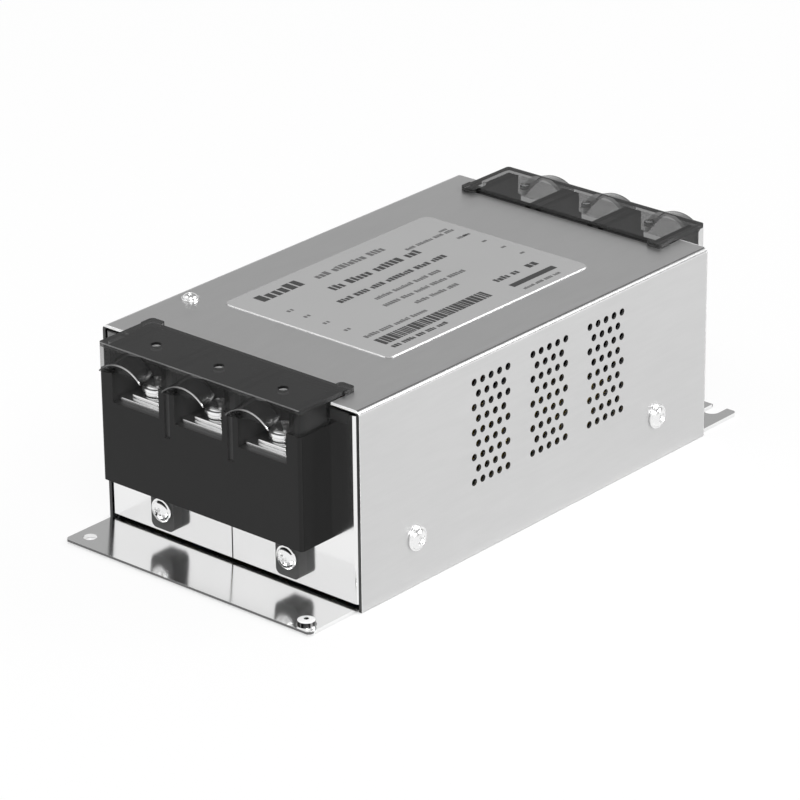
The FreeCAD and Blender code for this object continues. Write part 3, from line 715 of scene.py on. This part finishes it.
class LINE_FILTER_OT_stage(bpy.types.Operator):
    """Set the camera, the floor, the lamps and the surroundings"""

    bl_idname = "line_filter.stage"
    bl_label = "Stage"

    def execute(self, context):
        self.camera()
        self.floor()
        self.world()
        self.lamps()
        context.scene.view_settings.view_transform = "Standard"
        return {"FINISHED"}

    def camera(self):
        cos, sin = math.cos, math.sin
        azimuth, elevation, roll = CAMERA_AZIMUTH, CAMERA_ELEVATION, CAMERA_ROLL
        back = Vector((sin(azimuth) * cos(elevation), -cos(azimuth) * cos(elevation), sin(elevation)))
        level = Vector((cos(azimuth), sin(azimuth), 0))
        rise = back.cross(level)
        right = cos(roll) * level + sin(roll) * rise
        up = cos(roll) * rise - sin(roll) * level
        bpy.ops.object.camera_add()
        camera = bpy.context.object
        turn = Matrix((right, up, back)).transposed().to_4x4()
        camera.matrix_world = Matrix.Translation(CAMERA_PLACE) @ turn
        camera.data.sensor_width = SENSOR
        camera.data.lens = FOCAL_PIXELS / PICTURE * SENSOR
        camera.data.clip_end = 20
        bpy.context.scene.camera = camera

    def floor(self):
        tone = settings().floor_tone
        bpy.ops.mesh.primitive_plane_add(size=8, location=(0, 0, -0.2 * MM))
        floor = bpy.context.object
        floor.name = "floor"
        finish = Finish("floor", Roughness=0.9)
        speckle = finish.noise(300, 2)
        finish.feed(Base_Color=finish.grey(tone * 0.99, tone, speckle))
        open_floor = finish.node("ShaderNodeAmbientOcclusion", {"samples": 8}, {"Distance": 3.0 * MM}, "AO")
        share = finish.ray("Camera", "Glossy", "Transmission") * open_floor * 0.92
        glow = finish.node("ShaderNodeEmission", {}, {})
        mix = finish.node("ShaderNodeMixShader", {}, {0: share, 1: finish.surface.outputs[0], 2: glow})
        finish.put(finish.tree.nodes["Material Output"].inputs["Surface"], mix)
        floor.data.materials.append(finish.material)

    def world(self):
        """White near the horizon and in front, grey above and behind; dimmer as a light than as a view."""
        world = bpy.data.worlds.new("studio")
        bpy.context.scene.world = world
        world.use_nodes = True
        nodes = Nodes(world.node_tree)
        direction = nodes.node("ShaderNodeTexCoord", {}, {}, "Generated")
        height = nodes.node("ShaderNodeSeparateXYZ", {}, {0: direction}, 2)
        depth = nodes.node("ShaderNodeSeparateXYZ", {}, {0: direction}, 1)
        behind = nodes.node("ShaderNodeValToRGB", {"stops": [(0.12, 1.0), (0.30, 0.42)]}, {0: height})
        front = nodes.node("ShaderNodeValToRGB", {"stops": [(0.50, 1.0), (0.90, 0.50)]}, {0: height})
        turn = nodes.node("ShaderNodeMapRange", {}, {0: depth, 1: -0.2, 2: 0.3})
        view = nodes.blend(front, behind, turn)
        seen = nodes.blend(view, level(0.62), nodes.ray("Diffuse"))
        nodes.put(world.node_tree.nodes["Background"].inputs["Color"], seen)

    def lamps(self):
        target = Vector((0, 0, 0.03))
        for name, place, size, share, lights_dull in (
            ("key lamp", (0.9, -0.7, 1.1), 0.7, 1.0, True),
            ("left lamp", (-0.7, -0.7, 1.3), 0.6, 0.35, True),
            ("back lamp", (0.85, 1.15, 1.05), 0.6, 0.55, True),
            ("low glint lamp", (1.08, 0.82, 0.66), 0.3, 0.5, False),
            ("middle glint lamp", (1.04, 0.68, 0.84), 0.3, 0.5, False),
            ("high glint lamp", (1.00, 0.56, 0.97), 0.3, 0.5, False),
            ("spark lamp", (1.02, 0.60, 0.90), 0.10, 1.6, False),
        ):
            bpy.ops.object.light_add(type="AREA", location=place)
            lamp = bpy.context.object
            lamp.name = name
            lamp.data.size = size
            lamp.data.energy = settings().key_power * share
            lamp.visible_diffuse = lights_dull
            lamp.matrix_world = toward(Vector(place) - target, Vector(place))


class LINE_FILTER_OT_housing(bpy.types.Operator):
    """Give the top cover and the tray their plated sheet"""

    bl_idname = "line_filter.housing"
    bl_label = "Housing"

    def execute(self, context):
        dress(cover_steel(), "top_cover")
        dress(tray_steel(), "base_tray")
        return {"FINISHED"}


class LINE_FILTER_OT_terminal_blocks(bpy.types.Operator):
    """Finish the black blocks and their plated terminal strips"""

    bl_idname = "line_filter.terminal_blocks"
    bl_label = "Terminal blocks"

    def execute(self, context):
        dress(black_moulding(), "line_terminal_block", "load_terminal_block")
        dress(plated("nickel strip", 0.80, 0.18), "line_terminal_plates", "load_terminal_plates")
        return {"FINISHED"}


class LINE_FILTER_OT_terminal_covers(bpy.types.Operator):
    """Model the smoked covers over the terminals, their rims and edges rounded"""

    bl_idname = "line_filter.terminal_covers"
    bl_label = "Terminal covers"

    def execute(self, context):
        smoke = smoked_plastic()
        for node in ("line_terminal_cover", "load_terminal_cover"):
            shell = merged_copy(node)
            for pole in (-1, 0, 1):
                self.thin_rim(shell, pole * POLE_PITCH)
            hand_over(rounded(shell, 0.22 * MM), node + "_smoked", "smoked_plastic", smoke, node)
        return {"FINISHED"}

    def thin_rim(self, shell, across):
        """Moves the inner edge of a vault's rim outwards, so that its wall tapers to a thin lip."""
        rim_place = max(abs(v.co.y) for v in shell.data.vertices)
        side = 1 if shell.data.vertices[0].co.y > 0 else -1
        centre = RIM_CROWN - RIM_RADIUS
        inside = (RIM_RADIUS - RIM_WALL / 2) ** 2

        def inner(point):
            near = (point.x - across) ** 2 + (point.z - centre) ** 2 < inside
            return near and abs(point.x - across) < RIM_HALF and abs(point.y) > rim_place - 0.01 * MM

        edit_edges(shell, lambda a, b: inner(a) and inner(b))
        wall = settings().rim_wall
        stretch = (RIM_HALF - wall) / (RIM_HALF - RIM_WALL)
        lift = (RIM_CROWN - wall - RIM_FOOT) / (RIM_CROWN - RIM_WALL - RIM_FOOT)
        bpy.ops.transform.resize(
            value=(stretch, 1, lift), center_override=(across, side * rim_place, RIM_FOOT))
        bpy.ops.object.mode_set(mode="OBJECT")


class LINE_FILTER_OT_terminal_hardware(bpy.types.Operator):
    """Model the clamp screws, spring washers and square washers of the six terminals"""

    bl_idname = "line_filter.terminal_hardware"
    bl_label = "Terminal hardware"

    def execute(self, context):
        bright = plated("bright plating", 0.97, 0.25)
        nickel = plated("nickel plating", 0.84, 0.14)
        screw = pan_head(9.4 * MM, 3.6 * MM, 5.0 * MM, 6.0 * MM)
        clamp = seated_screws(screw, "clamp_screws", 2, (20, 65, 5, 40, 75, 30))
        hand_over(clamp, "clamp_screws_plated", "screw_plating", bright, "clamp_screws")
        for node, model in (("spring_washers", self.spring()), ("square_washers", self.square())):
            copies = []
            for low, high in seats(node):
                foot = (low + high) / 2
                foot.z = low.z
                copies.append(placed_copy(model, Matrix.Translation(foot)))
            bpy.data.objects.remove(model)
            hand_over(joined(copies), node + "_plated", "nickel_plate", nickel, node)
        return {"FINISHED"}

    def spring(self):
        """A split ring with closed ends that rises by 0.28 mm over its turn."""
        outer, inner, thick, rise = 4.5 * MM, 2.6 * MM, 1.0 * MM, 0.28 * MM
        ring = box((inner, -0.01 * MM, 0), (outer, 0.01 * MM, thick))
        edit_faces(ring, lambda centre, normal: normal.y < 0.9)
        bpy.ops.mesh.delete(type="FACE")
        bpy.ops.object.mode_set(mode="OBJECT")
        apply_modifier(
            ring, "SCREW", angle=math.radians(350), screw_offset=rise, steps=40, render_steps=40,
            use_normal_calculate=True)
        choose(ring)
        bpy.ops.object.mode_set(mode="EDIT")
        bpy.ops.mesh.select_all(action="SELECT")
        bpy.ops.mesh.fill_holes(sides=0)
        bpy.ops.mesh.select_all(action="SELECT")
        bpy.ops.mesh.normals_make_consistent(inside=False)
        bpy.ops.object.mode_set(mode="OBJECT")
        apply_modifier(ring, "BEVEL", width=0.12 * MM, segments=2, limit_method="ANGLE")
        return smooth(ring)

    def square(self):
        """A square clamp washer with rounded corners and edges."""
        half, thick, hole = 5.9 * MM, 1.2 * MM, 2.6 * MM
        plate = box((-half, -half, 0), (half, half, thick))
        bevel_edges(plate, lambda a, b: abs(a.z - b.z) > thick / 2, 1.0 * MM, 4)
        cut(plate, cylinder(hole, -thick, 2 * thick, 32))
        apply_modifier(plate, "BEVEL", width=0.15 * MM, segments=2, limit_method="ANGLE")
        return smooth(plate)


class LINE_FILTER_OT_housing_screws(bpy.types.Operator):
    """Model the cross-recess screws of the housing, the blocks and the earth point"""

    bl_idname = "line_filter.housing_screws"
    bl_label = "Housing screws"

    def execute(self, context):
        bright = plated("screw plating", 0.90, 0.10)
        for node, shape, axis, head, high, shank, below, turns in (
            ("side_screws", pan_head, 0, 8.0, 2.3, 4.0, 2.0, (15, 50, 80, 35)),
            ("block_screws", pan_head, 1, 8.0, 2.3, 4.0, 2.0, (10, 55, 30, 70)),
            ("top_screw", pan_head, 2, 5.6, 1.9, 3.0, 2.0, (40,)),
            ("ground_screw", cheese_head, 2, 5.6, 1.9, 3.0, 1.0, (25,)),
        ):
            model = shape(head * MM, high * MM, shank * MM, below * MM)
            apply_modifier(model, "WELD", merge_threshold=0.001 * MM)
            screws = seated_screws(model, node, axis, turns)
            finish = self.earth_plating() if node == "ground_screw" else bright
            hand_over(screws, node + "_plated", "screw_plating", finish, node)
        dress(bright, "ground_washer")
        return {"FINISHED"}

    def earth_plating(self):
        """White on top with a dark middle, painted as photographed: a painted highlight on top, painted
        shade in the middle and painted shade in streaks around the side.
        """
        low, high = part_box("ground_screw")
        middle = (low + high) / 2
        finish = Finish("earth screw plating")
        scuff = finish.noise(2500, 3)
        streak = finish.noise(900, 2, (1, 1, 0.05))
        # Painted shade: the head's side is painted dark in streaks.
        side = finish.axis("Z") < high.z - 0.42 * MM
        painted_side_shade = finish.grey(0.0, 0.30, finish.ramp(streak, 0.45, 0.7))
        across, along = finish.axis("X") - middle.x, finish.axis("Y") - middle.y
        # Painted shade: a dark spot over the middle of the top.
        centre = across * across + along * along < (0.8 * MM) ** 2
        # Painted highlight: the top is a white, non-metallic grey.
        plating = finish.blend(finish.grey(0.83, 0.92, scuff), painted_side_shade, side)
        finish.feed(
            Metallic=side,
            Base_Color=finish.blend(plating, level(0.03), centre),
            Roughness=scuff * 0.10 + 0.12 + side * 0.2)
        return finish.material


class LINE_FILTER_OT_label(bpy.types.Operator):
    """Finish the label and print rows of plain blocks and a block of bars on it"""

    bl_idname = "line_filter.label"
    bl_label = "Rating label"

    def execute(self, context):
        dress(label_film(), "rating_label")
        low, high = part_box("rating_label")
        self.corner = low
        self.top = high.z
        self.draw = random.Random(11)
        rows = (
            # across, along from the line end, length, height, tone
            (4.4, 9.0, 20.0, 5.0, 1),
            (6.8, 34.0, 35.0, 3.0, 0),
            (12.2, 88.5, 4.5, 1.2, 0),
            (14.0, 70.0, 23.0, 1.6, 0),
            (16.6, 30.0, 43.5, 3.6, 1),
            (20.4, 88.0, 6.4, 1.4, 0),
            (26.2, 23.5, 51.0, 2.4, 1),
            (33.4, 32.7, 31.7, 1.9, 0),
            (39.2, 30.3, 38.5, 1.9, 0),
            (45.0, 38.3, 21.0, 1.9, 0),
            (51.2, 7.6, 6.4, 1.9, 0),
            (51.4, 14.6, 22.4, 1.8, 0),
            (52.4, 67.7, 12.6, 2.6, 1),
            (51.6, 83.4, 5.6, 3.4, 1),
            (62.6, 7.4, 26.0, 1.8, 1),
            (64.0, 68.6, 18.0, 1.3, 0),
        )
        tones = [[], []]
        for across, along, length, height, tone in rows:
            self.words(tones[tone], across, along, length, height)
        for across in (19.6, 26.6, 34.6, 43.2):
            self.bar(tones[0], across, 7.6, 1.0, 1.4)
            self.bar(tones[0], across, 9.2, 0.8, 1.4)
        for across in (20.6, 28.6, 36.6, 44.4):
            self.bar(tones[0], across, 90.8, 1.9, 1.0)
        self.bar(tones[1], 59.0, 67.8, 21.2, 2.5)
        place = 7.5
        while place < 57.6:
            width = self.draw.choice((0.7, 1.1, 1.6))
            self.bar(tones[1], 55.6, place, width, 5.1)
            place += width + self.draw.choice((0.3, 0.5))
        ink = settings().ink_tone
        for name, bars, tone in (("fine", tones[0], ink * 3), ("bold", tones[1], ink)):
            finish = Finish("label ink " + name, Roughness=0.5, Specular_IOR_Level=0.25)
            blot = finish.noise(1500, 2)
            finish.feed(Base_Color=finish.grey(tone, tone * 1.7, blot))
            hand_over(joined(bars), "label_print_" + name, "label_film", finish.material)
        return {"FINISHED"}

    def words(self, bars, across, along, length, height):
        """A row of upright blocks in groups, as lines of print look from a step away."""
        place, last = along, along + length
        while place < last:
            for _ in range(self.draw.randint(3, 8)):
                width = height * self.draw.uniform(0.35, 0.62)
                if place + width > last:
                    return
                drop = height * self.draw.choice((0, 0, 0.2))
                self.bar(bars, across + drop, place, width, height - drop)
                place += width + height * 0.16
            place += height * 0.55

    def bar(self, bars, across, along, length, height):
        x, y = self.corner.x + across * MM, self.corner.y + along * MM
        low = (x, y, self.top)
        high = (x + height * MM, y + length * MM, self.top + settings().ink_height)
        bars.append(box(low, high))


class LINE_FILTER_OT_interior(bpy.types.Operator):
    """Finish what the box holds"""

    bl_idname = "line_filter.interior"
    bl_label = "Inside"

    def execute(self, context):
        finishes = (
            (plain_paint("insulating film", (0.30, 0.30, 0.27), 0.35, 60), ("insulating_sheet",)),
            (plain_paint("board laminate", (0.05, 0.13, 0.06), 0.35, 300), ("circuit_board",)),
            (plain_paint("core coating", (0.05, 0.06, 0.10), 0.25, 500),
             ("line_choke_core", "load_choke_core")),
            (plain_paint("enamelled wire", (0.36, 0.13, 0.05), 0.25, 800, 0.8),
             ("line_choke_windings", "load_choke_windings")),
            (plain_paint("nylon", (0.7, 0.7, 0.66), 0.5, 200), ("choke_carriers",)),
            (plain_paint("capacitor case", (0.5, 0.36, 0.06), 0.4, 300),
             ("x_capacitors", "earth_capacitor")),
            (plain_paint("disc coating", (0.04, 0.10, 0.26), 0.35, 500), ("disc_capacitors",)),
            (plain_paint("resistor lacquer", (0.16, 0.26, 0.2), 0.4, 500), ("discharge_resistors",)),
            (plain_paint("lead sleeve", (0.02, 0.02, 0.02), 0.45, 900), ("line_leads", "load_leads")),
            (plated("standoff plating", 0.75, 0.25), ("board_standoffs", "board_screws")),
        )
        for material, names in finishes:
            dress(material, *names)
        return {"FINISHED"}


OPERATORS = (
    LINE_FILTER_OT_stage,
    LINE_FILTER_OT_housing,
    LINE_FILTER_OT_terminal_blocks,
    LINE_FILTER_OT_terminal_covers,
    LINE_FILTER_OT_terminal_hardware,
    LINE_FILTER_OT_housing_screws,
    LINE_FILTER_OT_label,
    LINE_FILTER_OT_interior,
)


class LINE_FILTER_PT_pieces(bpy.types.Panel):
    """The filter's pieces in the sidebar"""

    bl_label = "Line filter"
    bl_space_type = "VIEW_3D"
    bl_region_type = "UI"
    bl_category = "Line filter"

    def draw(self, context):
        for name in Settings.__annotations__:
            self.layout.prop(context.scene.line_filter, name)
        for operator in OPERATORS:
            self.layout.operator(operator.bl_idname)


CLASSES = (Settings, *OPERATORS, LINE_FILTER_PT_pieces)


def register():
    for cls in CLASSES:
        bpy.utils.register_class(cls)
    bpy.types.Scene.line_filter = bpy.props.PointerProperty(type=Settings)


def unregister():
    del bpy.types.Scene.line_filter
    for cls in reversed(CLASSES):
        bpy.utils.unregister_class(cls)


def main():
    register()
    for operator in OPERATORS:
        group, name = operator.bl_idname.split(".")
        getattr(getattr(bpy.ops, group), name)()


if __name__ == "__main__":
    main()
